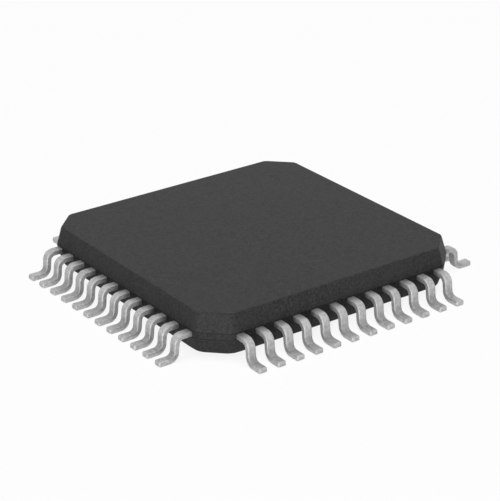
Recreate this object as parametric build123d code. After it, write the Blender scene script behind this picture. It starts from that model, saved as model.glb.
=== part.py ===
from build123d import *
import math
import os

# A thin quad flat pack: a moulded chip package with gull-wing leads on all four sides
# and a bare metal pad underneath. Sizes are in millimetres, angles in degrees.
# The origin is the centre of the seating plane, the plane that every foot stands on.
# +Z points up, and the rows of leads face -X, -Y, +X and +Y.

# Moulded body, measured from the parting plane where its two halves meet
mould_width = 7.10
mould_above_parting = 0.51
mould_below_parting = 0.47
parting_band = 0.14
upper_draft = 15.0
lower_draft = 18.0
corner_chamfer = 0.62
corner_radius = 0.42
top_edge_break = 0.03
bottom_edge_break = 0.05
stand_off = 0.09

# Sheet metal that the leads, the pad and its tie bars are stamped from
sheet_thickness = 0.125

# Gull-wing leads, outside the body. A row holds as many as fit between the corners.
lead_pitch = 0.50
lead_width = 0.21
row_end_clearance = 0.78
lead_shoulder = 0.20
upper_inner_radius = 0.11
lower_inner_radius = 0.09
leg_angle = 85.0
foot_flat = 0.31

# Lead fingers, inside the body
finger_straight = 0.30
finger_lean = 0.53
finger_tip_pitch = 0.40
finger_tip_width = 0.19

# Die pad and the bent tie bars at its corners
pad_width = 5.00
pad_proud = 0.05
pad_lip = 0.12
pad_lip_thickness = 0.05
tie_bar_width = 0.25
tie_bar_start = 0.55
tie_bar_bend = 0.25
tie_bar_ramp_angle = 50.0
tie_bar_cover = 0.15

# Silicon die and the layer that bonds it to the pad
die_width = 3.20
die_thickness = 0.28
attach_thickness = 0.03
attach_border = 0.08

# Bond wires from the die to the lead fingers
wire_thickness = 0.025
wire_pitch_on_die = 0.23
wire_inset_on_die = 0.10
wire_inset_on_finger = 0.14
wire_loop_height = 0.34

# Levels worked out from the sizes above
mould_bottom_z = stand_off
parting_z = mould_bottom_z + mould_below_parting
mould_top_z = parting_z + mould_above_parting
finger_bottom_z = parting_z - sheet_thickness / 2
finger_top_z = parting_z + sheet_thickness / 2
pad_bottom_z = mould_bottom_z - pad_proud
pad_top_z = pad_bottom_z + sheet_thickness
attach_top_z = pad_top_z + attach_thickness
die_top_z = attach_top_z + die_thickness

# Reaches from the vertical centre line
body_reach = mould_width / 2
finger_root_reach = body_reach - finger_straight
finger_tip_reach = finger_root_reach - finger_lean

# Rows of leads and the ways they face, as turns from +X
leads_per_side = math.floor((mould_width - 2 * row_end_clearance) / lead_pitch) + 1
row_angles = [180, 270, 0, 90]


def body_outline(z, inset):
    """Square with chamfered corners whose ends are rounded, moved inwards by the inset, at this height."""
    square = Rectangle(mould_width - 2 * inset, mould_width - 2 * inset)
    chamfered = chamfer(square.vertices(), corner_chamfer - (2 - math.sqrt(2)) * inset)
    return Pos(0, 0, z) * fillet(chamfered.vertices(), corner_radius)


def draft_inset(height, draft):
    """How far a wall with this draft has leaned inwards over this height."""
    return height * math.tan(math.radians(draft))


def mould_blank():
    """Solid body before the metal is let into it: a parting band between two drafted halves."""
    band_bottom_z = parting_z - parting_band / 2
    band_top_z = parting_z + parting_band / 2
    lower_wall_z = mould_bottom_z + bottom_edge_break
    upper_wall_z = mould_top_z - top_edge_break
    lower_inset = draft_inset(band_bottom_z - lower_wall_z, lower_draft)
    upper_inset = draft_inset(upper_wall_z - band_top_z, upper_draft)
    outlines = [
        body_outline(mould_bottom_z, lower_inset + bottom_edge_break),
        body_outline(lower_wall_z, lower_inset),
        body_outline(band_bottom_z, 0),
        body_outline(band_top_z, 0),
        body_outline(upper_wall_z, upper_inset),
        body_outline(mould_top_z, upper_inset + top_edge_break),
    ]
    return loft(outlines, ruled=True)


def formed_strip(points, radii, width):
    """Bent strip of the sheet metal. The points, in the XZ plane, follow its lower face."""
    lower_face = FilletPolyline(*points, radius=radii)
    outline = offset(lower_face, sheet_thickness, kind=Kind.INTERSECTION, side=Side.LEFT, closed=True)
    return extrude(Plane.XZ * make_face(outline), amount=width / 2, both=True)


def place_in_row(index, pitch):
    """Distance along a row, from its middle, of the piece with this index."""
    return (index - (leads_per_side - 1) / 2) * pitch


def finger_middle(index, reach):
    """Distance along the row of a finger's middle line, at this reach from the body's centre."""
    root_y = place_in_row(index, lead_pitch)
    tip_y = place_in_row(index, finger_tip_pitch)
    share = (reach - finger_tip_reach) / (finger_root_reach - finger_tip_reach)
    return tip_y + share * (root_y - tip_y)


def gull_wing():
    """Part of a lead from inside the body, over the shoulder and down to its foot."""
    bend_share = math.tan(math.radians(leg_angle / 2))
    lower_outer_radius = lower_inner_radius + sheet_thickness
    leg_top_x = body_reach + lead_shoulder + upper_inner_radius * bend_share
    leg_bottom_x = leg_top_x + finger_bottom_z / math.tan(math.radians(leg_angle))
    foot_end_x = leg_bottom_x + lower_outer_radius * bend_share + foot_flat
    points = [
        (finger_root_reach, finger_bottom_z),
        (leg_top_x, finger_bottom_z),
        (leg_bottom_x, 0),
        (foot_end_x, 0),
    ]
    return formed_strip(points, [upper_inner_radius, lower_outer_radius], lead_width)


def finger(index):
    """Flat inner end of a lead, which leans in towards the die."""
    root_y = finger_middle(index, finger_root_reach)
    tip_y = finger_middle(index, finger_tip_reach)
    outline = Polyline(
        (finger_root_reach, root_y - lead_width / 2),
        (finger_root_reach, root_y + lead_width / 2),
        (finger_tip_reach, tip_y + finger_tip_width / 2),
        (finger_tip_reach, tip_y - finger_tip_width / 2),
        close=True,
    )
    return Pos(0, 0, finger_bottom_z) * extrude(make_face(outline), amount=sheet_thickness)


def leads_of_one_row():
    """Leads of the +X row, from -Y to +Y."""
    wing = gull_wing()
    row = []
    for index in range(leads_per_side):
        placed_wing = Pos(0, place_in_row(index, lead_pitch), 0) * wing
        row.append(placed_wing + finger(index))
    return row


def bond_wire(start, end):
    """Square wire that rises from the die, turns sharply and slopes down into the finger's top."""
    slope_top = start + Vector(0, 0, wire_loop_height)
    slope = (end - slope_top).normalized()
    path = Polyline(start, slope_top, end + slope * wire_thickness)
    run = Vector(slope.X, slope.Y, 0)
    section = Plane(origin=start, x_dir=run, z_dir=(0, 0, 1)) * Rectangle(wire_thickness, wire_thickness)
    return sweep(section, path=path, transition=Transition.RIGHT)


def wires_of_one_row(leads):
    """Bond wires of the +X row, from -Y to +Y, each cut flush where it meets its lead."""
    start_x = die_width / 2 - wire_inset_on_die
    end_x = finger_tip_reach + wire_inset_on_finger
    row = []
    for index, lead in enumerate(leads):
        start = Vector(start_x, place_in_row(index, wire_pitch_on_die), die_top_z)
        end = Vector(end_x, finger_middle(index, end_x), finger_top_z)
        row.append(bond_wire(start, end) - lead)
    return row


def all_rows(row):
    """The pieces of one row repeated on all four sides, counter-clockwise from the -X row."""
    return [Rot(0, 0, angle) * piece for angle in row_angles for piece in row]


def slab(width, bottom_z, thickness):
    """Square slab centred on the body's vertical centre line."""
    return Pos(0, 0, bottom_z) * extrude(Rectangle(width, width), amount=thickness)


def tie_bar():
    """Strip that climbs from near a corner of the pad to the parting plane, along +X."""
    pad_corner = pad_width / math.sqrt(2)
    chamfer_face = (mould_width - corner_chamfer) / math.sqrt(2)
    ramp_start = pad_corner - tie_bar_bend
    ramp_end = ramp_start + (finger_bottom_z - pad_bottom_z) / math.tan(math.radians(tie_bar_ramp_angle))
    points = [
        (pad_corner - tie_bar_start, pad_bottom_z),
        (ramp_start, pad_bottom_z),
        (ramp_end, finger_bottom_z),
        (chamfer_face - tie_bar_cover, finger_bottom_z),
    ]
    return formed_strip(points, 0, tie_bar_width)


def die_pad():
    """Bare pad with a thin lip that locks it into the moulding, and four tie bars."""
    plate = slab(pad_width, pad_bottom_z, sheet_thickness)
    lip = slab(pad_width + 2 * pad_lip, pad_top_z - pad_lip_thickness, pad_lip_thickness)
    bar = tie_bar()
    bars = [Rot(0, 0, 45 + angle) * bar for angle in row_angles]
    return plate + lip + bars


def build_pieces():
    """Every piece of the package under its own name."""
    lead_row = leads_of_one_row()
    leads = all_rows(lead_row)
    wires = all_rows(wires_of_one_row(lead_row))
    pieces = {
        "die_pad": die_pad(),
        "die_attach": slab(die_width + 2 * attach_border, pad_top_z, attach_thickness),
        "silicon_die": slab(die_width, attach_top_z, die_thickness),
    }
    for number, lead in enumerate(leads, start=1):
        pieces[f"lead_{number:02d}"] = lead
    body = mould_blank() - list(pieces.values()) - wires
    pieces["bond_wires"] = Compound(wires)
    pieces["mould_body"] = body
    return pieces


os.makedirs("parts", exist_ok=True)
for name, piece in build_pieces().items():
    export_step(piece, f"parts/{name}.step")
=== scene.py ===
"""Dressed model of a thin quad flat pack chip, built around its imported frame.

Lengths are metres, as in the frame. The seating plane is z = 0 and +Z is up.
"""
import logging
import math
from dataclasses import dataclass, field
from enum import Enum
from typing import NamedTuple

import bpy
import numpy as np
from mathutils import Matrix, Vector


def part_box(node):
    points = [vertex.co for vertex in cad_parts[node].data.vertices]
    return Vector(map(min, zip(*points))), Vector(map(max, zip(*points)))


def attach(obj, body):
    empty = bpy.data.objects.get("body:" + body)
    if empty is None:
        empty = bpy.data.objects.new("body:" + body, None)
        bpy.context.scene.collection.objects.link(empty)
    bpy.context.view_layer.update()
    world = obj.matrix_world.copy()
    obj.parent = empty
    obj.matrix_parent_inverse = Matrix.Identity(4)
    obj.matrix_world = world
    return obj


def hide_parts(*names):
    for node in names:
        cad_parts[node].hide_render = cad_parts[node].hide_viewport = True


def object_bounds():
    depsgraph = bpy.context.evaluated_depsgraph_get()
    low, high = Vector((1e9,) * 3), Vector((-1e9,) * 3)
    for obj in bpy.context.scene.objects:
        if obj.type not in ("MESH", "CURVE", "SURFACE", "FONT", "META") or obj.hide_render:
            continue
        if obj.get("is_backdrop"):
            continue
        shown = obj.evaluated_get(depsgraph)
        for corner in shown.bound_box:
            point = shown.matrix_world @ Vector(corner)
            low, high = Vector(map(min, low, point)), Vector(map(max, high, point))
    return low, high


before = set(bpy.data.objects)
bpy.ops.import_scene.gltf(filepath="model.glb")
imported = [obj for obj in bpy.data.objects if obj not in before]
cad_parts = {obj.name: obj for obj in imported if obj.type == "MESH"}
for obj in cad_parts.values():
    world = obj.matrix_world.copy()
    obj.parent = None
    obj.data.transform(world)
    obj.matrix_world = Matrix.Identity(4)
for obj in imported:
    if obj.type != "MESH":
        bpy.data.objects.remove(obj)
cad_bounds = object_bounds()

log = logging.getLogger("chip")

Socket = bpy.types.NodeSocket
Colour = tuple[float, float, float, float]

MM = 1e-3
ROOT_BODY = "root"

# Span of a share, and the span that nearly all values of a noise lie in
WHOLE = (0.0, 1.0)
NOISE = (0.3, 0.7)

# Share of each finer octave in a grain
CRISP = 0.6

# Factor that takes a ring halfway in to the vertical centre line
HALFWAY = np.array([0.5, 0.5, 1.0])

# Numbers of the Mix node's sockets for colours
MIX_FACTOR, MIX_FIRST, MIX_SECOND, MIX_RESULT = 0, 6, 7, 2


class Slot(Enum):
    """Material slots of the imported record."""

    MOULD_COMPOUND = "mould_compound"
    LEAD_METAL = "lead_metal"
    PAD_METAL = "pad_metal"
    ATTACH_RESIN = "attach_resin"
    SILICON = "silicon"
    WIRE_METAL = "wire_metal"


def turn_about_z(angle: float) -> np.ndarray:
    """The 3 by 3 matrix of a turn about the vertical centre line, counter-clockwise from above."""
    cosine, sine = math.cos(angle), math.sin(angle)
    return np.array([[cosine, -sine, 0], [sine, cosine, 0], [0, 0, 1]])


def unit(vectors: np.ndarray) -> np.ndarray:
    """A vector, or the vector in each row, brought to a length of 1."""
    return vectors / np.linalg.norm(vectors, axis=-1, keepdims=True)


def add_object(name: str, data: bpy.types.ID) -> bpy.types.Object:
    """Adds an object to the scene.

    Args:
        name: Its name.
        data: Its mesh, light or camera.

    Returns:
        The object, at the origin and unturned.
    """
    thing = bpy.data.objects.new(name, data)
    bpy.context.scene.collection.objects.link(thing)
    return thing


class Row(Enum):
    """Rows of leads, counter-clockwise from above, each with the way it faces as a turn from +X."""

    MINUS_X = 180.0
    MINUS_Y = 270.0
    PLUS_X = 0.0
    PLUS_Y = 90.0

    def turn(self) -> np.ndarray:
        """The 3 by 3 matrix of the quarter turns that take the +X row onto this one."""
        return np.round(turn_about_z(math.radians(self.value)))


class RayKind(Enum):
    """Kinds of ray, under the names that the Light Path node gives them."""

    CAMERA = "Is Camera Ray"
    GLOSSY = "Is Glossy Ray"
    TRANSMISSION = "Is Transmission Ray"


class LampRays(Enum):
    """What a lamp is there for: the light that surfaces scatter, or the light that they reflect."""

    MATTE = "matte"
    GLOSS = "gloss"


@dataclass
class Shell:
    """Vertices and faces of one closed surface, before it becomes a mesh."""

    vertices: np.ndarray
    quads: np.ndarray
    triangles: np.ndarray = field(default_factory=lambda: np.empty((0, 3), dtype=int))

    @classmethod
    def from_rings(cls, rings: np.ndarray, start_pole: np.ndarray, end_pole: np.ndarray) -> "Shell":
        """Skins a stack of closed rings and closes both ends on a pole.

        Ring i and ring i + 1 are joined by one quad for each pair of neighbouring points, and each end
        ring is joined to its pole by a fan of triangles. Rings run counter-clockwise seen from the end.

        Args:
            rings: Array of ring, point and coordinate.
            start_pole: Point that closes the first ring.
            end_pole: Point that closes the last ring.

        Returns:
            The closed shell, with its faces outwards.
        """
        rows, columns = rings.shape[:2]
        index = np.arange(rows * columns).reshape(rows, columns)
        ahead = np.roll(index, -1, axis=1)
        quads = np.stack([index[:-1], ahead[:-1], ahead[1:], index[1:]], axis=-1).reshape(-1, 4)
        start = np.full(columns, rows * columns)
        start_fan = np.stack([ahead[0], index[0], start], axis=-1)
        end_fan = np.stack([index[-1], ahead[-1], start + 1], axis=-1)
        vertices = np.concatenate([rings.reshape(-1, 3), [start_pole], [end_pole]])
        return cls(vertices, quads, np.concatenate([start_fan, end_fan]))

    @classmethod
    def joined(cls, shells: list["Shell"]) -> "Shell":
        """Puts several shells into one, each keeping its own vertices.

        Args:
            shells: The shells to put together.

        Returns:
            One shell with all their vertices and faces.
        """
        offsets = np.cumsum([0] + [len(shell.vertices) for shell in shells])
        return cls(
            np.concatenate([shell.vertices for shell in shells]),
            np.concatenate([shell.quads + start for shell, start in zip(shells, offsets)]),
            np.concatenate([shell.triangles + start for shell, start in zip(shells, offsets)]),
        )

    def turned(self, turn: np.ndarray) -> "Shell":
        """This shell turned about the vertical centre line by a 3 by 3 matrix."""
        return Shell(self.vertices @ turn.T, self.quads, self.triangles)

    def face_areas(self) -> np.ndarray:
        """Area times normal of each face, quads first: half the cross product of its diagonals or sides.

        Returns:
            Array of face and coordinate.
        """
        a, b, c, d = (self.vertices[self.quads[:, corner]] for corner in range(4))
        p, q, r = (self.vertices[self.triangles[:, corner]] for corner in range(3))
        return np.concatenate([np.cross(c - a, d - b), np.cross(q - p, r - p)]) / 2

    def corner_normals(self, crease: float) -> np.ndarray:
        """Normal at each corner of each face, so that flat faces stay flat and rounded edges run smooth.

        It is the sum of area times normal over the faces round the corner's vertex that lean from the
        corner's own face by less than the crease, brought to unit length.

        Args:
            crease: Angle past which an edge stays sharp.

        Returns:
            Array of corner and coordinate, in the order of the faces.
        """
        areas = self.face_areas()
        units = unit(areas)
        vertex = np.concatenate([self.quads.ravel(), self.triangles.ravel()])
        face = np.concatenate([
            np.repeat(np.arange(len(self.quads)), 4),
            len(self.quads) + np.repeat(np.arange(len(self.triangles)), 3),
        ])
        order = np.argsort(vertex, kind="stable")
        counts = np.bincount(vertex)
        group_size = counts[vertex[order]]
        group_start = (np.cumsum(counts) - counts)[vertex[order]]
        step = np.arange(group_size.sum()) - np.repeat(np.cumsum(group_size) - group_size, group_size)
        own = np.repeat(order, group_size)
        other = order[np.repeat(group_start, group_size) + step]
        near = np.einsum("ij,ij->i", units[face[own]], units[face[other]]) > math.cos(crease)
        own, added = own[near], areas[face[other[near]]]
        sums = np.stack([np.bincount(own, added[:, axis], len(vertex)) for axis in range(3)], axis=-1)
        return unit(sums)


@dataclass
class Piece:
    """One finished piece: a shell with its finish and the nodes that it stands for."""

    name: str
    shell: Shell
    finish: "Finish"
    nodes: list[str]
    crease: float = math.radians(40)

    def build(self) -> bpy.types.Object:
        """Makes the object, dresses it and ties it to the frame.

        Returns:
            The finished object, at the origin and unturned.
        """
        mesh = bpy.data.meshes.new(self.name)
        faces = [*self.shell.quads.tolist(), *self.shell.triangles.tolist()]
        mesh.from_pydata(self.shell.vertices.tolist(), [], faces)
        mesh.polygons.foreach_set("use_smooth", np.ones(len(faces), dtype=bool))
        mesh.normals_split_custom_set(self.shell.corner_normals(self.crease).tolist())
        mesh.materials.append(self.finish.material())
        piece = add_object(self.name, mesh)
        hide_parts(*self.nodes)
        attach(piece, ROOT_BODY)
        log.info("%s: %d vertices, %d faces", self.name, len(mesh.vertices), len(faces))
        return piece


def rounded_line(points: list[tuple[float, float]], radii: list[float], steps: int) -> np.ndarray:
    """Line through the points with each inner corner rounded by an arc.

    A corner that turns by the angle t is cut back by radius times tan(t / 2) along both of its runs, and
    the arc between the two cuts is centre + radius * (sin, -cos) of an angle that grows evenly.

    Args:
        points: Corners of the line, ends included.
        radii: Radius at each inner corner, where 0 leaves it sharp.
        steps: Divisions of each arc.

    Returns:
        Array of point and coordinate along the line.
    """
    corners = np.array(points)
    stretches = [corners[:1]]
    for before, corner, after, radius in zip(corners[:-2], corners[1:-1], corners[2:], radii):
        if radius == 0:
            stretches.append(corner[None])
            continue
        inward, onward = unit(corner - before), unit(after - corner)
        turn = math.atan2(inward[0] * onward[1] - inward[1] * onward[0], inward @ onward)
        start = corner - inward * radius * math.tan(abs(turn) / 2)
        across = np.array([-inward[1], inward[0]]) * math.copysign(1, turn)
        angles = np.linspace(0, abs(turn), steps + 1)[:, None]
        stretches.append(start + radius * (np.sin(angles) * inward + (1 - np.cos(angles)) * across))
    stretches.append(corners[-1:])
    return np.concatenate(stretches)


@dataclass(frozen=True)
class RoundedOutline:
    """Closed outline of straight edges joined by arcs, centred on the vertical centre line.

    Its edges can be moved inwards by any inset while the arcs keep their radius: each point then moves by
    the inset times its own shift, which is the edge's normal on an edge, and on an arc the vector that
    takes both of its edges in by one.
    """

    edge_angles: np.ndarray
    edge_distances: np.ndarray
    radius: float
    arc_steps: int
    edge_places: dict[int, np.ndarray] = field(default_factory=dict)

    def meeting_points(self, distances: np.ndarray) -> np.ndarray:
        """Where each edge meets the next one, with the edges at these distances from the centre.

        It solves normal . point = distance for both edges at once.

        Args:
            distances: Distance of each edge.

        Returns:
            Array of corner and coordinate. Corner k lies between edge k and edge k + 1.
        """
        normals = np.stack([np.cos(self.edge_angles), np.sin(self.edge_angles)], axis=-1)
        pairs = np.stack([normals, np.roll(normals, -1, axis=0)], axis=1)
        sides = np.stack([distances, np.roll(distances, -1)], axis=1)
        return np.linalg.solve(pairs, sides[:, :, None])[:, :, 0]

    def edge_points(self, edge: int, half_length: float) -> tuple[np.ndarray, np.ndarray, float]:
        """An edge's own points, which stand at the places given for it from its middle.

        A place past the edge's straight part lies on the arc, at the angle whose sine is the overrun
        divided by the radius. The arc then starts there, so that place is left to the arc.

        Args:
            edge: The edge's number.
            half_length: Half the length of its straight part.

        Returns:
            The points, the edge's unit normal and the angle at which its arcs start.
        """
        angle = self.edge_angles[edge]
        normal = np.array([math.cos(angle), math.sin(angle)])
        along = np.array([-normal[1], normal[0]])
        places = self.edge_places.get(edge, np.zeros(1))
        overrun = math.asin(max(places.max() - half_length, 0) / self.radius)
        straight = places[np.abs(places) < half_length]
        return normal * self.edge_distances[edge] + straight[:, None] * along, normal, overrun

    def samples(self) -> tuple[np.ndarray, np.ndarray]:
        """Points of the outline and their shifts, counter-clockwise from the middle of edge 0.

        Returns:
            Two arrays of point and coordinate: points and shifts.
        """
        centres = self.meeting_points(self.edge_distances - self.radius)
        arc_shifts = self.meeting_points(np.ones(len(centres)))
        half_lengths = np.sqrt((centres**2).sum(axis=1) - (self.edge_distances - self.radius) ** 2)
        edges = [self.edge_points(edge, half_lengths[edge]) for edge in range(len(centres))]
        turn = 2 * math.pi / len(edges)
        points, shifts = [], []
        for edge, (centre, arc_shift) in enumerate(zip(centres, arc_shifts)):
            edge_points, normal, start = edges[edge]
            end = edges[(edge + 1) % len(edges)][2]
            angles = self.edge_angles[edge] + np.linspace(start, turn - end, self.arc_steps + 1)
            arc = centre + self.radius * np.stack([np.cos(angles), np.sin(angles)], axis=-1)
            points += [edge_points, arc]
            shifts += [np.broadcast_to(normal, edge_points.shape), np.broadcast_to(arc_shift, arc.shape)]
        return np.concatenate(points), np.concatenate(shifts)

    def rings(self, profile: np.ndarray) -> np.ndarray:
        """Carries a profile round the outline: ring point = outline point - inset * shift, at height z.

        Args:
            profile: Array of inset and height, one row for each ring.

        Returns:
            Array of ring, point and coordinate.
        """
        points, shifts = self.samples()
        flat = points[None] - profile[:, :1, None] * shifts[None]
        heights = np.broadcast_to(profile[:, 1, None, None], (*flat.shape[:2], 1))
        return np.concatenate([flat, heights], axis=-1)


@dataclass(frozen=True)
class StripSection:
    """Cross-section of the sheet metal: a rectangle with rounded edges, softer above than below."""

    width: float
    thickness: float
    upper_radius: float = 0.034 * MM
    lower_radius: float = 0.022 * MM
    corner_steps: int = 4

    def outline(self) -> np.ndarray:
        """Points of the section round its middle, counter-clockwise: across, then outwards from the sheet.

        Returns:
            Array of point and coordinate.
        """
        half_width, half_thickness = self.width / 2, self.thickness / 2
        corners = [
            (half_width, half_thickness, self.upper_radius, 0.0),
            (-half_width, half_thickness, self.upper_radius, 0.5),
            (-half_width, -half_thickness, self.lower_radius, 1.0),
            (half_width, -half_thickness, self.lower_radius, 1.5),
        ]
        arcs = []
        for across, outward, radius, half_turns in corners:
            angles = math.pi * (half_turns + np.linspace(0, 0.5, self.corner_steps + 1))
            middle = np.array([across, outward]) - radius * np.sign([across, outward])
            arcs.append(middle + radius * np.stack([np.cos(angles), np.sin(angles)], axis=-1))
        return np.concatenate(arcs)


@dataclass(frozen=True)
class FormedStrip:
    """Strip of sheet metal carried along a bent centre line in a vertical plane through the X axis."""

    line: np.ndarray
    section: StripSection
    end_radius: float = 0.046 * MM
    end_steps: int = 4

    def stations(self) -> tuple[np.ndarray, np.ndarray, np.ndarray]:
        """Stations along the centre line, with the far end softly rounded.

        Near the end the section shrinks by end_radius * (1 - cos a) all round while it moves on by
        end_radius * sin a, as a goes from 0 to a quarter turn.

        Returns:
            Arrays of the stations' points, their unit normals in the plane and their shrinking.
        """
        tangents = unit(np.gradient(self.line, axis=0))
        last = tangents[-1]
        angles = np.linspace(0, math.pi / 2, self.end_steps + 1)
        rounding = self.line[-1] - self.end_radius * (1 - np.sin(angles))[:, None] * last
        points = np.concatenate([self.line[:-1], rounding])
        directions = np.concatenate([tangents[:-1], np.repeat(last[None], len(angles), axis=0)])
        normals = np.stack([-directions[:, 1], directions[:, 0]], axis=-1)
        shrinking = np.pad(self.end_radius * (1 - np.cos(angles)), (len(self.line) - 1, 0))
        return points, normals, shrinking

    def shell(self, offsets: "np.ndarray | float" = 0.0, widths: "np.ndarray | float" = 1.0) -> Shell:
        """Skins the strip: point = station + across * Y + outward * normal, for each point of the section.

        Args:
            offsets: Shift along Y at each station of the line.
            widths: Width at each station of the line, as a share of the section's.

        Returns:
            The closed shell.
        """
        points, normals, shrinking = self.stations()
        added = len(points) - len(self.line)
        offsets = np.pad(np.broadcast_to(offsets, len(self.line)), (0, added), mode="edge")
        widths = np.pad(np.broadcast_to(widths, len(self.line)), (0, added), mode="edge")
        across, outward = self.section.outline().T
        across_scale = widths * (1 - 2 * shrinking / self.section.width)
        outward_scale = 1 - 2 * shrinking / self.section.thickness
        lift = outward_scale[:, None] * outward[None]
        rings = np.stack([
            points[:, :1] + lift * normals[:, :1],
            offsets[:, None] + across_scale[:, None] * across[None],
            points[:, 1:] + lift * normals[:, 1:],
        ], axis=-1)
        start_pole = np.array([points[0, 0], offsets[0], points[0, 1]])
        end_pole = np.array([points[-1, 0], offsets[-1], points[-1, 1]])
        return Shell.from_rings(rings, start_pole, end_pole)


class NodeSheet:
    """Node tree of one material or of the world, with short calls to lay nodes and link them."""

    def __init__(self, tree: bpy.types.NodeTree) -> None:
        """Empties the tree and keeps it."""
        self.tree = tree
        tree.nodes.clear()

    def node(self, kind: str, inputs: dict | None = None, **settings: object) -> bpy.types.Node:
        """Adds a node.

        Args:
            kind: The node's type name.
            inputs: For each socket, by name or number, its value or the output that feeds it.
            settings: The node's own properties.

        Returns:
            The new node.
        """
        node = self.tree.nodes.new(kind)
        for name, value in settings.items():
            setattr(node, name, value)
        for socket, value in (inputs or {}).items():
            if isinstance(value, Socket):
                self.tree.links.new(value, node.inputs[socket])
            else:
                node.inputs[socket].default_value = value
        return node

    def object_place(self, stretch: tuple[float, float, float] = (1, 1, 1)) -> Socket:
        """Object coordinates, with each axis scaled by its stretch."""
        place = self.node("ShaderNodeTexCoord").outputs["Object"]
        return self.node("ShaderNodeMapping", {"Vector": place, "Scale": stretch}).outputs["Vector"]

    def noise(self, place: Socket, feature: float, detail: float = 2.0, roughness: float = 0.5) -> Socket:
        """Noise between 0 and 1.

        Args:
            place: Coordinates to read.
            feature: Size of its largest features, in metres.
            detail: Octaves of finer noise on top.
            roughness: Share of each finer octave.

        Returns:
            The noise's value.
        """
        inputs = {"Vector": place, "Scale": 1 / feature, "Detail": detail, "Roughness": roughness}
        return self.node("ShaderNodeTexNoise", inputs).outputs["Fac"]

    def flecks(self, place: Socket, spacing: float, share: float) -> Socket:
        """Small round specks at random places.

        Args:
            place: Coordinates to read.
            spacing: Mean distance between neighbours, in metres.
            share: Radius of a speck as a share of the spacing.

        Returns:
            1 in the middle of a speck and 0 outside it.
        """
        cells = self.node("ShaderNodeTexVoronoi", {"Vector": place, "Scale": 1 / spacing})
        return self.span(cells.outputs["Distance"], (share, 0.0), WHOLE)

    def span(self, value: Socket, source: tuple[float, float], target: tuple[float, float]) -> Socket:
        """Maps a value evenly from one span onto another and stops at its ends.

        Args:
            value: Value to map.
            source: The value's own span.
            target: The span to map it onto.

        Returns:
            The mapped value.
        """
        inputs = {0: value, 1: source[0], 2: source[1], 3: target[0], 4: target[1]}
        return self.node("ShaderNodeMapRange", inputs).outputs[0]

    def blend(self, share: Socket, first: "Colour | Socket", second: "Colour | Socket") -> Socket:
        """Mix of two colours, with this share of the second."""
        inputs = {MIX_FACTOR: share, MIX_FIRST: first, MIX_SECOND: second}
        return self.node("ShaderNodeMix", inputs, data_type="RGBA").outputs[MIX_RESULT]

    def mixed(self, share: "float | Socket", first: Socket, second: Socket) -> Socket:
        """Mix of two shaders, with this share of the second."""
        return self.node("ShaderNodeMixShader", {0: share, 1: first, 2: second}).outputs[0]

    def calc(self, operation: str, *values: "float | Socket", clamp: bool = False) -> Socket:
        """Result of an operation on these values, in order, held between 0 and 1 if it is to be clamped."""
        inputs = dict(enumerate(values))
        return self.node("ShaderNodeMath", inputs, operation=operation, use_clamp=clamp).outputs[0]

    def total(self, first: Socket, second: Socket, second_share: float) -> Socket:
        """The first value plus a share of the second."""
        return self.calc("MULTIPLY_ADD", second, second_share, first)

    def reach_and_height(self, place: Socket, height_share: float = 1.0) -> Socket:
        """Place seen along its own row of leads, the same for all four rows.

        Args:
            place: Object coordinates.
            height_share: Factor on the height.

        Returns:
            Vector of the reach from the centre line, which is the larger of x and y without sign, of 0,
            and of the height.
        """
        sizes = self.node("ShaderNodeVectorMath", {0: place}, operation="ABSOLUTE").outputs[0]
        axes = self.node("ShaderNodeSeparateXYZ", {0: sizes}).outputs
        reach = self.calc("MAXIMUM", axes["X"], axes["Y"])
        height = self.calc("MULTIPLY", axes["Z"], height_share)
        return self.node("ShaderNodeCombineXYZ", {0: reach, 1: 0.0, 2: height}).outputs[0]

    def near(self, place: Socket, spot: tuple[float, float, float], spread: float, most: float) -> Socket:
        """Value that is highest at a spot and falls off smoothly round it.

        Args:
            place: Coordinates to read.
            spot: The point where the value is highest.
            spread: Distance at which it has fallen to 0.
            most: The value at the spot.

        Returns:
            The value, from 0 to the most.
        """
        inputs = {0: place, 1: spot}
        distance = self.node("ShaderNodeVectorMath", inputs, operation="DISTANCE").outputs["Value"]
        inputs = {0: distance, 1: 0.0, 2: spread, 3: most, 4: 0.0}
        return self.node("ShaderNodeMapRange", inputs, interpolation_type="SMOOTHSTEP").outputs[0]

    def bump(self, height: Socket, depth: float) -> Socket:
        """Bump of the given depth in metres, from a height between 0 and 1."""
        return self.node("ShaderNodeBump", {"Height": height, "Distance": depth}).outputs["Normal"]

    def any_of(self, kinds: list[RayKind]) -> Socket:
        """Tells rays of some kinds from the rest.

        Args:
            kinds: Kinds to look for.

        Returns:
            1 for a ray of one of these kinds, and 0 for the rest.
        """
        rays = self.node("ShaderNodeLightPath").outputs
        flag = rays[kinds[0].value]
        for kind in kinds[1:]:
            flag = self.calc("MAXIMUM", flag, rays[kind.value])
        return flag


def grey(level: float) -> Colour:
    """Opaque grey of this level."""
    return (level, level, level, 1.0)


class Patterns(NamedTuple):
    """Patterned inputs of a surface, the height between 0 and 1."""

    colour: Socket
    roughness: Socket
    height: Socket


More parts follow.
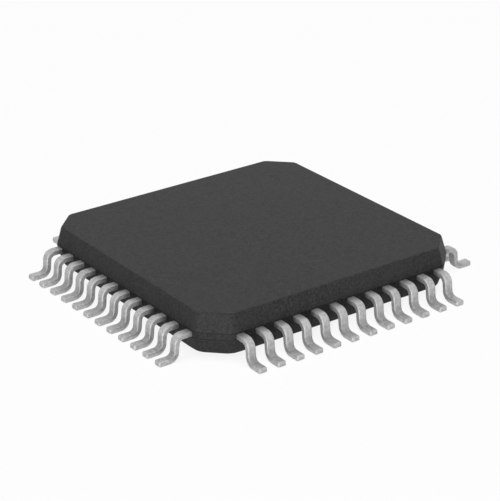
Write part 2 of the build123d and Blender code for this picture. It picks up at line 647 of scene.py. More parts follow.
@dataclass(frozen=True)
class Finish:
    """Finish of a piece: a Principled surface whose colour, roughness and relief come from patterns."""

    slot: Slot
    name: str
    roughness: tuple[float, float]
    depth: float
    metallic: float = 0.0
    specular: float = 0.5

    def patterns(self, sheet: NodeSheet, place: Socket) -> Patterns:
        """Lays the nodes of the patterns.

        Args:
            sheet: The material's node tree.
            place: Object coordinates.

        Returns:
            The patterns.
        """
        raise NotImplementedError

    def material(self) -> bpy.types.Material:
        """The finish as a material, made once and then shared.

        Returns:
            The material.
        """
        known = bpy.data.materials.get(self.name)
        if known:
            return known
        material = bpy.data.materials.new(self.name)
        material.use_nodes = True
        sheet = NodeSheet(material.node_tree)
        patterns = self.patterns(sheet, sheet.object_place())
        surface = sheet.node("ShaderNodeBsdfPrincipled", {
            "Base Color": patterns.colour,
            "Metallic": self.metallic,
            "Roughness": patterns.roughness,
            "Specular IOR Level": self.specular,
            "Normal": sheet.bump(patterns.height, self.depth),
        })
        sheet.node("ShaderNodeOutputMaterial", {"Surface": surface.outputs[0]})
        return material


@dataclass(frozen=True)
class MouldingCompound(Finish):
    """Black filled epoxy with an eroded mould's fine grain, specks of pale filler, and dark lines of painted
    shade just below and just above its parting band.
    """

    slot: Slot = Slot.MOULD_COMPOUND
    name: str = "speckled_moulding_compound"
    roughness: tuple[float, float] = (0.42, 0.54)
    depth: float = 0.0011 * MM
    specular: float = 0.06
    dark: float = 0.022
    light: float = 0.053
    grain: float = 0.055 * MM
    cloud: float = 0.9 * MM
    cloud_span: tuple[float, float] = (0.35, 0.65)
    cloud_share: float = 0.25
    cloud_gloss: float = 0.5
    gloss_span: tuple[float, float] = (0.4, 1.1)
    speck: float = 0.10
    speck_spacing: float = 0.055 * MM
    speck_size: float = 0.22
    speck_share: float = 0.6
    speck_height: float = 0.4
    # Heights, spread, share and colour of the lines of painted shade just below and just above the parting
    # band
    line_heights: tuple[float, float] = (0.478 * MM, 0.637 * MM)
    line_spread: float = 0.026 * MM
    line_share: float = 0.42
    line_level: float = 0.008

    def painted_band_shade(self, sheet: NodeSheet) -> Socket:
        """Painted shade: dark lines that run round the body, just below and just above its parting band.

        Args:
            sheet: The material's node tree.

        Returns:
            The lines' share, 0 away from them.
        """
        height = sheet.object_place((0, 0, 1))
        low, high = (
            sheet.near(height, (0, 0, line), self.line_spread, self.line_share) for line in self.line_heights
        )
        return sheet.total(low, high, 1.0)

    def patterns(self, sheet: NodeSheet, place: Socket) -> Patterns:
        """Lays grain and clouds, specks over them, and the lines of painted shade over all.

        Args:
            sheet: The material's node tree.
            place: Object coordinates.

        Returns:
            The patterns.
        """
        dark, light = grey(self.dark), grey(self.light)
        grain = sheet.noise(place, self.grain, detail=3, roughness=CRISP)
        cloud = sheet.noise(place, self.cloud)
        body = sheet.blend(sheet.span(grain, NOISE, WHOLE), dark, light)
        clouded = sheet.blend(sheet.span(cloud, self.cloud_span, (0, self.cloud_share)), body, light)
        specks = sheet.flecks(place, self.speck_spacing, self.speck_size)
        speckled = sheet.blend(sheet.span(specks, WHOLE, (0, self.speck_share)), clouded, grey(self.speck))
        gloss = sheet.total(grain, cloud, self.cloud_gloss)
        return Patterns(
            # Colour with the lines of painted shade at the band's edges laid over it
            colour=sheet.blend(self.painted_band_shade(sheet), speckled, grey(self.line_level)),
            roughness=sheet.span(gloss, self.gloss_span, self.roughness),
            height=sheet.total(grain, specks, self.speck_height),
        )


@dataclass(frozen=True)
class MatteTin(Finish):
    """Matte tin plate on the formed leads: fine plating grains, faint clouds, and painted shade where each
    lead leaves the moulding and in the hollow of its lower bend.
    """

    slot: Slot = Slot.LEAD_METAL
    name: str = "matte_tin_plate"
    roughness: tuple[float, float] = (0.43, 0.57)
    depth: float = 0.0008 * MM
    metallic: float = 0.64
    dull: Colour = (0.42, 0.42, 0.417, 1.0)
    bright: Colour = (0.57, 0.57, 0.57, 1.0)
    grain: float = 0.065 * MM
    cloud: float = 0.22 * MM
    cloud_share: float = 0.5
    cloud_height: float = 0.6
    colour_span: tuple[float, float] = (0.58, 0.92)
    gloss_span: tuple[float, float] = (0.45, 1.05)
    # Dark colour, places and spreads of the painted shade where each lead leaves the moulding and in the
    # hollow of its lower bend
    painted_shade_colour: Colour = (0.03, 0.03, 0.028, 1.0)
    root_reach: float = 3.55 * MM
    root_shade: float = 0.52
    root_spread: float = 0.20 * MM
    hollow: tuple[float, float, float] = (4.034 * MM, 0.0, 0.160 * MM)
    hollow_shade: float = 0.35
    hollow_spread: float = 0.17 * MM

    def painted_shade(self, sheet: NodeSheet, place: Socket) -> Socket:
        """Painted shade where a lead comes out of the moulding and in the hollow of its lower bend.

        Args:
            sheet: The material's node tree.
            place: Object coordinates.

        Returns:
            The painted shade's share, 0 away from those places.
        """
        flat = sheet.reach_and_height(place, 0.0)
        root = sheet.near(flat, (self.root_reach, 0, 0), self.root_spread, self.root_shade)
        upright = sheet.reach_and_height(place)
        return sheet.total(root, sheet.near(upright, self.hollow, self.hollow_spread, self.hollow_shade), 1.0)

    def patterns(self, sheet: NodeSheet, place: Socket) -> Patterns:
        """Lays grain and clouds, with the painted shade over them.

        Args:
            sheet: The material's node tree.
            place: Object coordinates.

        Returns:
            The patterns.
        """
        grain = sheet.noise(place, self.grain, roughness=CRISP)
        cloud = sheet.noise(place, self.cloud, detail=3)
        mottling = sheet.total(grain, cloud, self.cloud_share)
        plating = sheet.blend(sheet.span(mottling, self.colour_span, WHOLE), self.dull, self.bright)
        return Patterns(
            # Plating darkened by painted shade at each lead's root and in its lower bend
            colour=sheet.blend(self.painted_shade(sheet, place), plating, self.painted_shade_colour),
            roughness=sheet.span(mottling, self.gloss_span, self.roughness),
            height=sheet.total(grain, cloud, self.cloud_height),
        )


@dataclass(frozen=True)
class MottledTin(MatteTin):
    """Paler tin plate of the bare pad, free of painted shade, with soft warm and cool clouds and shallow
    dimples.
    """

    slot: Slot = Slot.PAD_METAL
    name: str = "mottled_pad_plate"
    depth: float = 0.0015 * MM
    metallic: float = 1.0
    dull: Colour = (0.80, 0.785, 0.765, 1.0)
    bright: Colour = (0.80, 0.815, 0.835, 1.0)
    grain: float = 0.03 * MM
    cloud: float = 1.3 * MM
    cloud_share: float = 5.0
    colour_span: tuple[float, float] = (2.2, 3.8)
    # The pad takes no painted shade
    root_shade: float = 0.0
    hollow_shade: float = 0.0


@dataclass(frozen=True)
class SilveredResin(Finish):
    """Resin filled with silver flakes, satin and slightly uneven."""

    slot: Slot = Slot.ATTACH_RESIN
    name: str = "silver_filled_resin"
    roughness: tuple[float, float] = (0.32, 0.5)
    depth: float = 0.002 * MM
    metallic: float = 0.3
    resin: Colour = (0.40, 0.38, 0.35, 1.0)
    flake: Colour = (0.72, 0.71, 0.69, 1.0)
    flake_spacing: float = 0.02 * MM
    flake_size: float = 0.5
    flake_height: float = 0.3
    swell: float = 0.3 * MM

    def patterns(self, sheet: NodeSheet, place: Socket) -> Patterns:
        """Lays flakes in a softly swelling surface.

        Args:
            sheet: The material's node tree.
            place: Object coordinates.

        Returns:
            The patterns.
        """
        flakes = sheet.flecks(place, self.flake_spacing, self.flake_size)
        swell = sheet.noise(place, self.swell)
        return Patterns(
            colour=sheet.blend(flakes, self.resin, self.flake),
            roughness=sheet.span(swell, NOISE, self.roughness),
            height=sheet.total(swell, flakes, self.flake_height),
        )


@dataclass(frozen=True)
class SawnSilicon(Finish):
    """Polished silicon, blue-grey, with the fine rows of its circuits showing as a faint pattern."""

    slot: Slot = Slot.SILICON
    name: str = "polished_silicon"
    roughness: tuple[float, float] = (0.12, 0.22)
    depth: float = 0.0006 * MM
    specular: float = 0.8
    bulk: Colour = (0.13, 0.14, 0.17, 1.0)
    circuit: Colour = (0.20, 0.19, 0.21, 1.0)
    row_pitch: float = 0.06 * MM
    row_gap: float = 0.03
    haze: float = 0.4 * MM

    def patterns(self, sheet: NodeSheet, place: Socket) -> Patterns:
        """Lays the rows of circuits and a haze in the polish.

        Args:
            sheet: The material's node tree.
            place: Object coordinates.

        Returns:
            The patterns.
        """
        circuits = sheet.node("ShaderNodeTexBrick", {
            "Vector": place, "Scale": 1 / self.row_pitch, "Color1": self.bulk, "Color2": self.circuit,
            "Mortar": self.bulk, "Mortar Size": self.row_gap,
        }).outputs
        haze = sheet.noise(place, self.haze)
        return Patterns(circuits["Color"], sheet.span(haze, NOISE, self.roughness), circuits["Fac"])


@dataclass(frozen=True)
class DrawnGold(Finish):
    """Bright drawn gold wire with faint die marks."""

    slot: Slot = Slot.WIRE_METAL
    name: str = "drawn_gold_wire"
    roughness: tuple[float, float] = (0.16, 0.3)
    depth: float = 0.0004 * MM
    metallic: float = 1.0
    deep: Colour = (0.80, 0.56, 0.20, 1.0)
    pale: Colour = (0.88, 0.68, 0.33, 1.0)
    mark: float = 0.01 * MM

    def patterns(self, sheet: NodeSheet, place: Socket) -> Patterns:
        """Lays the die marks, which the colour, the polish and the relief all follow.

        Args:
            sheet: The material's node tree.
            place: Object coordinates.

        Returns:
            The patterns.
        """
        marks = sheet.noise(place, self.mark, detail=3)
        colour = sheet.blend(marks, self.deep, self.pale)
        return Patterns(colour, sheet.span(marks, NOISE, self.roughness), marks)


@dataclass(frozen=True)
class Levels:
    """Heights, reaches and sizes that the pieces share. The frame gives those that have no value here."""

    mould_reach: float
    mould_bottom: float
    mould_top: float
    finger_bottom: float
    finger_tip: float
    foot_end: float
    pad_bottom: float
    die_reach: float
    die_top: float
    sheet: float = 0.125 * MM
    corner_chamfer: float = 0.62 * MM
    finger_straight: float = 0.30 * MM
    pad_reach: float = 2.5 * MM
    pad_lip: float = 0.12 * MM
    pad_lip_thickness: float = 0.05 * MM

    @classmethod
    def from_frame(cls) -> "Levels":
        """Reads the nodes' boxes.

        Returns:
            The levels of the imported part.
        """
        mould_low, mould_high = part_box("mould_body")
        lead_low, lead_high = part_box("lead_25")
        pad_low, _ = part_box("die_pad")
        _, die_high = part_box("silicon_die")
        return cls(
            mould_reach=mould_high.x,
            mould_bottom=mould_low.z,
            mould_top=mould_high.z,
            finger_bottom=lead_high.z - cls.sheet,
            finger_tip=lead_low.x,
            foot_end=lead_high.x,
            pad_bottom=pad_low.z,
            die_reach=die_high.x,
            die_top=die_high.z,
        )

    @property
    def parting(self) -> float:
        """Height of the plane where the mould's halves meet, in the middle of the sheet metal."""
        return self.finger_bottom + self.sheet / 2

    @property
    def chamfer_reach(self) -> float:
        """Distance from the centre line to the chamfers of the body, at its widest."""
        return (2 * self.mould_reach - self.corner_chamfer) / math.sqrt(2)

    @property
    def finger_root(self) -> float:
        """Reach at which the fingers start to lean in."""
        return self.mould_reach - self.finger_straight

    @property
    def pad_top(self) -> float:
        """Height of the pad's upper face."""
        return self.pad_bottom + self.sheet

    @property
    def pad_shelf(self) -> float:
        """Height of the underside of the pad's lip."""
        return self.pad_top - self.pad_lip_thickness


@dataclass(frozen=True)
class LeadRows:
    """Places of the leads in their rows."""

    pitch: float = 0.50 * MM
    tip_pitch: float = 0.40 * MM
    count: int = 12

    def places(self, pitch: float) -> np.ndarray:
        """Distances along a row, from its middle, of pieces at this pitch."""
        return (np.arange(self.count) - (self.count - 1) / 2) * pitch


@dataclass(frozen=True)
class MouldBody:
    """Moulded body: two drafted halves that meet in an upright band, with a window for each lead.

    The corners are rounder below the band than above it.
    """

    levels: Levels
    rows: LeadRows
    finish: MouldingCompound = MouldingCompound()
    lower_corner_radius: float = 0.42 * MM
    upper_corner_radius: float = 0.18 * MM
    band: float = 0.14 * MM
    upper_draft: float = math.radians(15)
    lower_draft: float = math.radians(18)
    top_radius: float = 0.042 * MM
    bottom_radius: float = 0.06 * MM
    band_radius: float = 0.008 * MM
    edge_run: float = 3.0
    window_width: float = 0.214 * MM
    window_gap: float = 0.002 * MM
    window_depth: float = 0.28 * MM
    pad_gap: float = 0.004 * MM
    edge_steps: int = 5
    arc_steps: int = 10

    @property
    def band_ends(self) -> tuple[float, float]:
        """Heights of the band's lower and upper end."""
        return self.levels.parting - self.band / 2, self.levels.parting + self.band / 2

    def outline(self, radius: float) -> RoundedOutline:
        """Square with chamfered corners and rounded chamfer ends, with points at the windows' sides.

        Args:
            radius: Radius at the chamfers' ends.

        Returns:
            The outline, with its edges in turn a chamfer and a side.
        """
        sides = self.rows.places(self.rows.pitch)[:, None] + np.array([-0.5, 0.5]) * self.window_width
        return RoundedOutline(
            edge_angles=(np.arange(8) - 1) * math.pi / 4,
            edge_distances=np.tile([self.levels.chamfer_reach, self.levels.mould_reach], 4),
            radius=radius,
            arc_steps=self.arc_steps,
            edge_places={edge: sides.ravel() for edge in range(1, 8, 2)},
        )

    def wall(self, profile: np.ndarray) -> np.ndarray:
        """Carries the wall's profile round the body, from its lower corners to its upper ones.

        Across the band, ring = (1 - share) * lower outline's ring + share * upper outline's ring, where
        the share is how far up the band the ring stands.

        Args:
            profile: Array of inset and height, one row for each ring.

        Returns:
            Array of ring, point and coordinate.
        """
        band_low, band_high = self.band_ends
        share = np.clip((profile[:, 1] - band_low) / (band_high - band_low), 0, 1)[:, None, None]
        lower = self.outline(self.lower_corner_radius).rings(profile)
        upper = self.outline(self.upper_corner_radius).rings(profile)
        return (1 - share) * lower + share * upper

    def wall_profile(self) -> tuple[np.ndarray, int]:
        """Insets and heights of the wall from the underside to the top, with every edge rounded.

        Both ends run on over the flat faces, by edge_run times the radius of their edge.

        Returns:
            The profile, and the index of its last point below the windows.
        """
        levels = self.levels
        band_low, band_high = self.band_ends
        low_inset = (band_low - levels.mould_bottom) * math.tan(self.lower_draft)
        high_inset = (levels.mould_top - band_high) * math.tan(self.upper_draft)
        low_run, high_run = self.edge_run * self.bottom_radius, self.edge_run * self.top_radius
        lower = rounded_line(
            [(low_inset + low_run, levels.mould_bottom), (low_inset, levels.mould_bottom), (0, band_low),
             (0, levels.finger_bottom - self.window_gap)],
            [self.bottom_radius, self.band_radius], self.edge_steps)
        upper = rounded_line(
            [(0, levels.finger_bottom + levels.sheet + self.window_gap), (0, band_high),
             (high_inset, levels.mould_top), (high_inset + high_run, levels.mould_top)],
            [self.band_radius, self.top_radius], self.edge_steps)
        return np.concatenate([lower, upper]), len(lower) - 1

    def pad_seat(self, columns: np.ndarray) -> np.ndarray:
        """Rings of the recess that the pad lies in.

        Each point of the outline moves along its ray from the centre onto a square: point = point * half
        width / its larger coordinate.

        Args:
            columns: The underside's ring, which gives the rays.

        Returns:
            Rings from the middle of the recess's ceiling out to its rim.
        """
        levels = self.levels
        square = columns[:, :2] / np.abs(columns[:, :2]).max(axis=1)[:, None]
        narrow = levels.pad_reach + self.pad_gap
        wide = narrow + levels.pad_lip
        steps = [(wide / 2, levels.pad_top), (wide, levels.pad_top), (wide, levels.pad_shelf),
                 (narrow, levels.pad_shelf), (narrow, levels.mould_bottom)]
        return np.stack([np.column_stack([square * reach, np.full(len(square), z)]) for reach, z in steps])

    def shell(self) -> Shell:
        """Skins the body, then cuts a window for each lead.

        A window is one cell of the grid, on the band between two rings and two columns. Its quad is
        taken out and its four corners are joined to the same four moved inwards by the window's depth.

        Returns:
            The closed shell.
        """
        profile, window_row = self.wall_profile()
        wall = self.wall(profile)
        seat = self.pad_seat(wall[0])
        rings = np.concatenate([seat, wall, wall[-1:] * HALFWAY])
        low_pole = np.array([0, 0, self.levels.pad_top])
        high_pole = np.array([0, 0, self.levels.mould_top])
        shell = Shell.from_rings(rings, low_pole, high_pole)
        columns = rings.shape[1]
        row = len(seat) + window_row
        quarters = np.arange(4)[:, None] * columns // 4
        cells = (row * columns + quarters + self.arc_steps + 1 + 2 * np.arange(self.rows.count)).ravel()
        facing = np.repeat(np.arange(4) * math.pi / 2, self.rows.count)
        return self.with_windows(shell, cells, columns, np.stack([np.cos(facing), np.sin(facing)], axis=-1))

    def with_windows(self, shell: Shell, cells: np.ndarray, columns: int, normals: np.ndarray) -> Shell:
        """Takes out the windows' cells and lines them with walls.

        Args:
            shell: The closed body.
            cells: Index of each window's first corner, which is also the number of its quad.
            columns: Points in a ring.
            normals: Outward direction of each window.

        Returns:
            The body with its windows.
        """
        corners = np.stack([cells, cells + 1, cells + columns + 1, cells + columns], axis=1)
        inward = np.column_stack([normals, np.zeros(len(normals))]) * self.window_depth
        inner = shell.vertices[corners] - inward[:, None]
        inner_index = len(shell.vertices) + np.arange(corners.size).reshape(corners.shape)
        ahead, inner_ahead = np.roll(corners, -1, axis=1), np.roll(inner_index, -1, axis=1)
        sides = np.stack([corners, ahead, inner_ahead, inner_index], axis=-1).reshape(-1, 4)
        quads = np.concatenate([np.delete(shell.quads, cells, axis=0), sides, inner_index])
        return Shell(np.concatenate([shell.vertices, inner.reshape(-1, 3)]), quads, shell.triangles)

    def build(self) -> bpy.types.Object:
        """Makes and dresses the body."""
        return Piece("moulded_body", self.shell(), self.finish, ["mould_body"]).build()


@dataclass(frozen=True)
class GullWingLeads:
    """The leads: stamped strips with soft edges, formed into gull wings outside the body."""

    levels: Levels
    rows: LeadRows
    finish: MatteTin = MatteTin()
    width: float = 0.21 * MM
    tip_width: float = 0.19 * MM
    shoulder: float = 0.20 * MM
    upper_radius: float = 0.11 * MM
    lower_radius: float = 0.12 * MM
    leg_angle: float = math.radians(85)
    bend_steps: int = 12

    def centre_line(self) -> np.ndarray:
        """Middle of the strip from the finger's tip to the foot's end, as reach and height.

        The leg leans outwards at its angle, and both bends are arcs whose radius is the inner one plus
        half the sheet.

        Returns:
            Array of point and coordinate.
        """
        levels = self.levels
        half_sheet = levels.sheet / 2
        upper, lower = self.upper_radius + half_sheet, self.lower_radius + half_sheet
        top_z, foot_z = levels.parting, half_sheet
        leg_top = levels.mould_reach + self.shoulder + upper * math.tan(self.leg_angle / 2)
        leg_bottom = leg_top + (top_z - foot_z) / math.tan(self.leg_angle)
        points = [(levels.finger_tip, top_z), (levels.finger_root, top_z), (leg_top, top_z),
                  (leg_bottom, foot_z), (levels.foot_end, foot_z)]
        return rounded_line(points, [0, upper, lower], self.bend_steps)

    def shell(self, index: int) -> Shell:
        """One lead of the +X row. Its finger leans in evenly and narrows from the root to the tip.

        Args:
            index: The lead's number in its row, from 0.

        Returns:
            The closed shell.
        """
        levels, rows = self.levels, self.rows
        line = self.centre_line()
        leaning = np.clip((levels.finger_root - line[:, 0]) / (levels.finger_root - levels.finger_tip), 0, 1)
        root_place, tip_place = rows.places(rows.pitch)[index], rows.places(rows.tip_pitch)[index]
        offsets = root_place + leaning * (tip_place - root_place)
        widths = 1 + leaning * (self.tip_width / self.width - 1)
        return FormedStrip(line, StripSection(self.width, levels.sheet)).shell(offsets, widths)

    def build(self) -> list[bpy.types.Object]:
        """Makes and dresses every lead, counter-clockwise from the -X row.

        Returns:
            The leads, one object each.
        """
        row_shells = [self.shell(index) for index in range(self.rows.count)]
        leads = []
        for side in Row:
            for shell in row_shells:
                node = f"lead_{len(leads) + 1:02d}"
                piece = Piece(f"formed_{node}", shell.turned(side.turn()), self.finish, [node])
                leads.append(piece.build())
        return leads


@dataclass(frozen=True)
class DiePad:
    """Bare pad with soft stamped edges, the lip that locks it in, and four bent tie bars."""

    levels: Levels
    finish: MottledTin = MottledTin()
    edge_radius: float = 0.018 * MM
    corner_radius: float = 0.05 * MM
    face_inset: float = 0.045 * MM
    bar_width: float = 0.25 * MM
    bar_bend: float = 0.25 * MM
    bar_bend_radius: float = 0.08 * MM
    bar_ramp: float = math.radians(50)
    bar_cover: float = 0.15 * MM
    edge_steps: int = 4
    arc_steps: int = 6

    def plate(self) -> Shell:
        """Plate and lip: a stepped profile carried round a square, closed at a pole below and above.

        Returns:
            The closed shell.
        """
        levels = self.levels
        outline = RoundedOutline(
            edge_angles=np.arange(4) * math.pi / 2,
            edge_distances=np.full(4, levels.pad_reach),
            radius=self.corner_radius,
            arc_steps=self.arc_steps,
        )
        profile = rounded_line(
            [(self.face_inset, levels.pad_bottom), (0, levels.pad_bottom), (0, levels.pad_shelf),
             (-levels.pad_lip, levels.pad_shelf), (-levels.pad_lip, levels.pad_top), (0, levels.pad_top)],
            [self.edge_radius, 0, 0, 0], self.edge_steps)
        rings = outline.rings(profile)
        rings = np.concatenate([rings[:1] * HALFWAY, rings, rings[-1:] * HALFWAY])
        return Shell.from_rings(rings, np.array([0, 0, levels.pad_bottom]), np.array([0, 0, levels.pad_top]))

    def tie_bar(self) -> Shell:
        """Strip that climbs from inside the plate's corner to the parting plane, along +X.

        Returns:
            The closed shell.
        """
        levels = self.levels
        ramp_start = levels.pad_reach * math.sqrt(2) - self.bar_bend
        low, high = levels.pad_bottom + levels.sheet / 2, levels.parting
        ramp_end = ramp_start + (high - low) / math.tan(self.bar_ramp)
        bar_end = levels.chamfer_reach - self.bar_cover
        points = [(ramp_start, low), (ramp_end, high), (bar_end, high)]
        line = rounded_line(points, [self.bar_bend_radius], self.arc_steps)
        return FormedStrip(line, StripSection(self.bar_width, levels.sheet)).shell()

    def build(self) -> bpy.types.Object:
        """Makes and dresses the pad with its tie bars, one towards each corner.

        Returns:
            The object.
        """
        bar = self.tie_bar()
        bars = [bar.turned(turn_about_z(angle)) for angle in np.radians(45 + 90 * np.arange(4))]
        return Piece("bare_pad", Shell.joined([self.plate(), *bars]), self.finish, ["die_pad"]).build()


@dataclass(frozen=True)
class BondWires:
    """Gold wires, each from a flattened ball on the die in one loop down to a stitch on its finger.

    The loop's bends are shares of its height and of its run, and the stitch's sizes are shares of the
    wire's radius.
    """

    levels: Levels
    rows: LeadRows
    finish: DrawnGold = DrawnGold()
    radius: float = 0.0125 * MM
    die_pitch: float = 0.23 * MM
    die_inset: float = 0.10 * MM
    finger_inset: float = 0.14 * MM
    loop_height: float = 0.30 * MM
    ball_radius: float = 0.030 * MM
    ball_height: float = 0.022 * MM
    ball_rings: int = 6
    ball_overlap: float = 0.1
    rise_share: float = 1.45
    bend_run: float = 0.30
    bend_rise: float = 1.15
    stitch_share: float = 0.1
    stitch_widening: float = 0.8
    stitch_flattening: float = 0.7
    stitch_lift: float = 0.3
    stations: int = 24
    sides: int = 10

    @property
    def angles(self) -> np.ndarray:
        """Angles of the points round the wire and round the ball."""
        return np.arange(self.sides) * 2 * math.pi / self.sides

    def ball(self, foot: np.ndarray) -> Shell:
        """Flattened ball, as rings of radius ball_radius * sin a at height ball_height * (1 - cos a) / 2.

        Args:
            foot: The point of the die that the ball sits on.

        Returns:
            The closed shell.
        """
        tilts = np.linspace(0, math.pi, self.ball_rings + 2)[1:-1, None]
        reach = self.ball_radius * np.sin(tilts)
        height = np.broadcast_to(self.ball_height * (1 - np.cos(tilts)) / 2, (self.ball_rings, self.sides))
        rings = foot + np.stack([reach * np.cos(self.angles), reach * np.sin(self.angles), height], axis=-1)
        return Shell.from_rings(rings, foot, foot + np.array([0, 0, self.ball_height]))

    def loop(self, start: np.ndarray, end: np.ndarray) -> Shell:
        """Round wire along a cubic curve that rises straight from the ball and slopes to the finger.

        The curve is the Bernstein sum of its four control points, (1 - t)^3, 3 t (1 - t)^2, 3 t^2 (1 - t)
        and t^3 times each in turn. The section flattens and widens over the last stitch_share of it, where
        the wire is stitched down.

        Args:
            start: Top of the ball.
            end: Middle of the stitch.

        Returns:
            The closed shell.
        """
        run = end - start
        rise = np.array([0, 0, self.loop_height])
        bend = start + self.bend_run * run + self.bend_rise * rise
        controls = np.stack([start, start + self.rise_share * rise, bend, end])
        share = np.linspace(0, 1, self.stations)
        rest = 1 - share
        weights = np.stack([rest**3, 3 * share * rest**2, 3 * share**2 * rest, share**3])
        points = weights.T @ controls
        across = unit(np.cross([0, 0, 1], run))
        outward = np.cross(unit(np.gradient(points, axis=0)), across)
        stitch = np.clip(1 - rest / self.stitch_share, 0, 1)[:, None]
        wide = self.radius * (1 + self.stitch_widening * stitch) * np.cos(self.angles)
        high = self.radius * (1 - self.stitch_flattening * stitch) * np.sin(self.angles)
        rings = points[:, None] + wide[:, :, None] * across + high[:, :, None] * outward[:, None]
        return Shell.from_rings(rings, points[0], points[-1])

    def build(self) -> bpy.types.Object:
        """Makes and dresses all the wires as one object of separate shells.

        Returns:
            The object.
        """
        levels = self.levels
        start_x, end_x = levels.die_reach - self.die_inset, levels.finger_tip + self.finger_inset
        lean = self.finger_inset / (levels.finger_root - levels.finger_tip)
        finger_places = self.rows.places(self.rows.tip_pitch + lean * (self.rows.pitch - self.rows.tip_pitch))
        stitch_z = levels.parting + levels.sheet / 2 + self.stitch_lift * self.radius
        shells = []
        for start_y, end_y in zip(self.rows.places(self.die_pitch), finger_places):
            foot = np.array([start_x, start_y, levels.die_top])
            ball_top = foot + np.array([0, 0, (1 - self.ball_overlap) * self.ball_height])
            shells += [self.ball(foot), self.loop(ball_top, np.array([end_x, end_y, stitch_z]))]
        row = Shell.joined(shells)
        wires = Shell.joined([row.turned(side.turn()) for side in Row])
        return Piece("looped_bond_wires", wires, self.finish, ["bond_wires"]).build()


@dataclass(frozen=True)
class SawnParts:
    """The die and its bond layer, whose solids are right as they are and only take a finish."""

    silicon: SawnSilicon = SawnSilicon()
    resin: SilveredResin = SilveredResin()

    def build(self) -> None:
        """Dresses both nodes."""
        for name, finish in (("silicon_die", self.silicon), ("die_attach", self.resin)):
            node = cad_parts[name]
            node.data.materials.clear()
            node.data.materials.append(finish.material())
            log.info("%s: dressed as %s", name, finish.name)


def direction(azimuth: float, elevation: float) -> np.ndarray:
    """Unit vector from the object towards a place, given by its turn from -Y about Z and its elevation."""
    flat = math.cos(elevation)
    return np.array([math.sin(azimuth) * flat, -math.cos(azimuth) * flat, math.sin(elevation)])


def aim(thing: bpy.types.Object, towards: np.ndarray, distance: float, height: float = 0.0,
        roll: float = 0.0) -> None:
    """Places a light or a camera and turns it towards a point on the vertical centre line.

    Args:
        thing: The light or the camera.
        towards: Unit vector from the point towards it.
        distance: Its distance from the point.
        height: The point's height.
        roll: Turn about its own line of sight.
    """
    right = unit(np.cross([0, 0, 1], towards))
    up = np.cross(towards, right)
    matrix = np.eye(4)
    matrix[:3, 0] = math.cos(roll) * right + math.sin(roll) * up
    matrix[:3, 1] = math.cos(roll) * up - math.sin(roll) * right
    matrix[:3, 2] = towards
    matrix[:3, 3] = np.array([0, 0, height]) + distance * towards
    thing.matrix_world = Matrix(matrix.tolist())


@dataclass(frozen=True)
class Lamp:
    """Round soft lamp that faces the object."""

    name: str
    level: float
    azimuth: float
    elevation: float
    size: float
    seen_by: LampRays
    distance: float = 0.20

    def hang(self) -> bpy.types.Object:
        """Hangs the lamp. A face turned to it gets power / (pi squared * distance squared), the level.

        Returns:
            The lamp.
        """
        light = bpy.data.lights.new(self.name, "AREA")
        light.shape = "DISK"
        light.size = self.size
        light.energy = self.level * math.pi**2 * self.distance**2
        lamp = add_object(self.name, light)
        lamp.visible_diffuse = self.seen_by is LampRays.MATTE
        lamp.visible_glossy = self.seen_by is LampRays.GLOSS
        aim(lamp, direction(self.azimuth, self.elevation), self.distance)
        return lamp


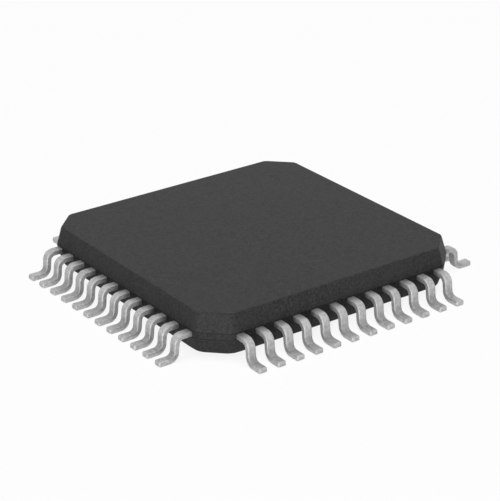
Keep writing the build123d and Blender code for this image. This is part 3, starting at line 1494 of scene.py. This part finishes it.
@dataclass(frozen=True)
class Studio:
    """Plain pale floor, soft light and the camera at the photograph's viewing angle."""

    floor_reach: float = 0.6
    floor_behind: float = 0.9
    floor_drop: float = 0.002 * MM
    floor_level: float = 0.97
    floor_glow: float = 0.88
    mirrored_glow: float = 0.15
    sky_level: float = 0.14
    ground_level: float = 0.22
    horizon: tuple[float, float] = (-0.1, 0.1)
    lamps: tuple[Lamp, ...] = (
        Lamp("soft_key", 0.85, math.radians(-32), math.radians(80.5), 0.16, LampRays.MATTE),
        Lamp("low_fill", 0.71, math.radians(-40), math.radians(-16), 0.12, LampRays.MATTE),
        Lamp("back_fill", 0.40, math.radians(135), math.radians(-12), 0.12, LampRays.MATTE),
        Lamp("corner_glow", 0.35, math.radians(-54), math.radians(0), 0.06, LampRays.GLOSS),
    )
    camera_azimuth: float = math.radians(-34.76)
    camera_elevation: float = math.radians(24.11)
    camera_roll: float = math.radians(-0.98)
    camera_distance: float = 47.2 * MM
    lens: float = 144.0
    sensor: float = 36.0
    clip_start: float = 0.001
    clip_end: float = 10.0

    def lay_floor(self) -> bpy.types.Object:
        """Lays the floor a hair under the feet, longer behind, so that its diagonal misses the object.

        The camera sees its upper face as a pale floor that keeps the object's shadow, and metal sees it
        with a deeper one. Scattered light and the lamps' own light pass through it, so that they reach
        the underside. Its lower face can't be seen, and a ray that has come up through it meets no floor.

        Returns:
            The floor.
        """
        near, far = -self.floor_reach, self.floor_behind
        corners = [(near, near), (-near, near), (-near, far), (near, far)]
        mesh = bpy.data.meshes.new("pale_floor")
        mesh.from_pydata([(*corner, -self.floor_drop) for corner in corners], [], [(0, 1, 2, 3)])
        material = bpy.data.materials.new("pale_floor")
        material.use_nodes = True
        sheet = NodeSheet(material.node_tree)
        matte = sheet.node("ShaderNodeBsdfDiffuse", {"Color": grey(self.floor_level)}).outputs[0]
        white = sheet.node("ShaderNodeEmission", {"Color": grey(1.0), "Strength": 1.0}).outputs[0]
        clear = sheet.node("ShaderNodeBsdfTransparent").outputs[0]
        pale = sheet.mixed(self.floor_glow, matte, white)
        mirrored = sheet.mixed(self.mirrored_glow, matte, white)
        in_metal = sheet.any_of([RayKind.GLOSSY, RayKind.TRANSMISSION])
        shown = sheet.mixed(sheet.any_of([RayKind.CAMERA]), sheet.mixed(in_metal, clear, mirrored), pale)
        back = sheet.node("ShaderNodeNewGeometry").outputs["Backfacing"]
        from_below = sheet.node("ShaderNodeLightPath").outputs["Transparent Depth"]
        surface = sheet.mixed(sheet.calc("ADD", back, from_below, clamp=True), shown, clear)
        sheet.node("ShaderNodeOutputMaterial", {"Surface": surface})
        mesh.materials.append(material)
        floor = add_object("pale_floor", mesh)
        floor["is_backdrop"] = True
        return floor

    def light_world(self) -> None:
        """Lights the scene from all round, more from the ground than from the sky, and is white to see."""
        world = bpy.data.worlds.new("soft_studio")
        bpy.context.scene.world = world
        world.use_nodes = True
        sheet = NodeSheet(world.node_tree)
        upwards = sheet.node("ShaderNodeTexCoord").outputs["Generated"]
        height = sheet.node("ShaderNodeSeparateXYZ", {0: upwards}).outputs["Z"]
        level = sheet.span(height, self.horizon, (self.ground_level, self.sky_level))
        lamp = sheet.node("ShaderNodeBackground", {"Color": grey(1.0), "Strength": level}).outputs[0]
        white = sheet.node("ShaderNodeBackground", {"Color": grey(1.0), "Strength": 1.0}).outputs[0]
        shown = sheet.any_of([RayKind.CAMERA, RayKind.GLOSSY, RayKind.TRANSMISSION])
        sheet.node("ShaderNodeOutputWorld", {"Surface": sheet.mixed(shown, lamp, white)})

    def set_camera(self, height: float) -> bpy.types.Object:
        """Sets the camera at the photograph's viewing angle.

        Args:
            height: Height of the point that it looks at.

        Returns:
            The camera.
        """
        data = bpy.data.cameras.new("camera")
        data.lens = self.lens
        data.sensor_width = self.sensor
        data.clip_start = self.clip_start
        data.clip_end = self.clip_end
        camera = add_object("camera", data)
        towards = direction(self.camera_azimuth, self.camera_elevation)
        aim(camera, towards, self.camera_distance, height, self.camera_roll)
        bpy.context.scene.camera = camera
        return camera

    def build(self, levels: Levels) -> None:
        """Lays the floor, hangs the lamps and sets the camera.

        Args:
            levels: The part's levels, for the camera's aim.
        """
        bpy.context.scene.view_settings.view_transform = "Standard"
        self.lay_floor()
        self.light_world()
        for lamp in self.lamps:
            lamp.hang()
        self.set_camera(levels.parting)


def main() -> None:
    """Builds every piece in order, then the studio."""
    logging.basicConfig(level=logging.INFO, format="%(name)s: %(message)s")
    levels = Levels.from_frame()
    rows = LeadRows()
    MouldBody(levels, rows).build()
    GullWingLeads(levels, rows).build()
    DiePad(levels).build()
    BondWires(levels, rows).build()
    SawnParts().build()
    Studio().build(levels)
    boxes = {"cad": cad_bounds, "visual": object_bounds()}
    sizes = {name: [list(corner) for corner in box] for name, box in boxes.items()}


if __name__ == "__main__":
    main()
